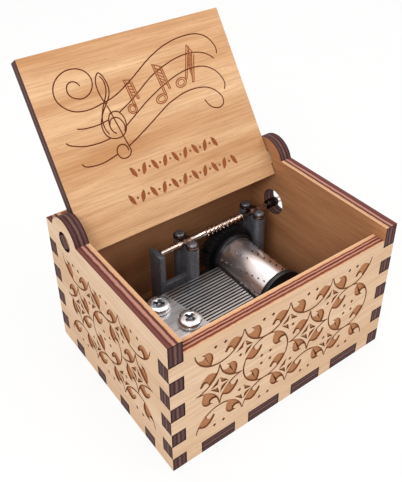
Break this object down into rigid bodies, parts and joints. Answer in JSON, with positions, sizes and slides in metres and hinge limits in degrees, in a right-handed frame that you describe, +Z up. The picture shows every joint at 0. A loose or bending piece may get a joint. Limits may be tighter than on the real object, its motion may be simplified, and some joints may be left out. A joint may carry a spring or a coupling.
{
  "type": "hand-cranked music box",
  "caption": "Small finger-jointed plywood box with a pivoting lid, holding a comb, a pinned drum and a worm shaft that a hand crank turns to play a tune.",
  "frame": {"origin": "centre of the flat underside of the bottom panel, on the surface the box stands on", "axes": "+X towards the crank side, -Y towards the front (low) panel, +Y towards the hinge side, +Z up"},
  "size_m": [0.0871, 0.0673, 0.072],
  "materials": {
    "plywood": "satin",
    "zinc_casting": "satin",
    "comb_steel": "brushed",
    "nickel": "polished",
    "strap_bronze": "satin",
    "dark_steel": "satin",
    "black_plastic": "satin"
  },
  "bodies": {
    "case": {"bottom_panel": "plywood", "front_panel": "plywood", "back_panel": "plywood", "left_panel": "plywood", "right_panel": "plywood", "movement_frame": "zinc_casting", "comb": "comb_steel", "comb_screw_front": "nickel", "comb_screw_rear": "nickel", "shaft_strap_left": "strap_bronze", "shaft_strap_right": "strap_bronze", "stud_left_front": "dark_steel", "stud_left_rear": "dark_steel", "stud_right_front": "dark_steel", "stud_right_rear": "dark_steel", "floor_screw_1": "nickel", "floor_screw_2": "nickel", "floor_screw_3": "nickel"},
    "lid": {"lid": "plywood"},
    "crank": {"worm_shaft": "nickel", "crank_shoulder": "dark_steel", "crank_arm": "nickel", "knob_washer": "nickel"},
    "knob": {"crank_knob": "black_plastic"},
    "cylinder": {"cylinder_gear": "black_plastic", "cylinder_drum": "nickel", "cylinder_front_cap": "black_plastic", "cylinder_rear_cap": "black_plastic", "cylinder_arbor": "comb_steel"}
  },
  "joints": [
    {"name": "lid_hinge", "type": "hinge", "parent": "case", "child": "lid", "pos_m": [0, 0.0166, 0.03625], "axis": [1, 0, 0], "range_deg": [-18, 124.3]},
    {"name": "crank_turn", "type": "hinge", "parent": "case", "child": "crank", "pos_m": [0.0278, 0.0129, 0.0238], "axis": [-1, 0, 0], "continuous": true},
    {"name": "cylinder_turn", "type": "hinge", "parent": "case", "child": "cylinder", "pos_m": [0.012, 0, 0.0152], "axis": [0, 1, 0], "continuous": true},
    {"name": "knob_spin", "type": "hinge", "parent": "crank", "child": "knob", "pos_m": [0.0482, 0.0129, 0.0068], "axis": [1, 0, 0], "continuous": true}
  ],
  "couplings": [
    {"joint": "cylinder_turn", "follows": "crank_turn", "ratio": 0.027778}
  ]
}
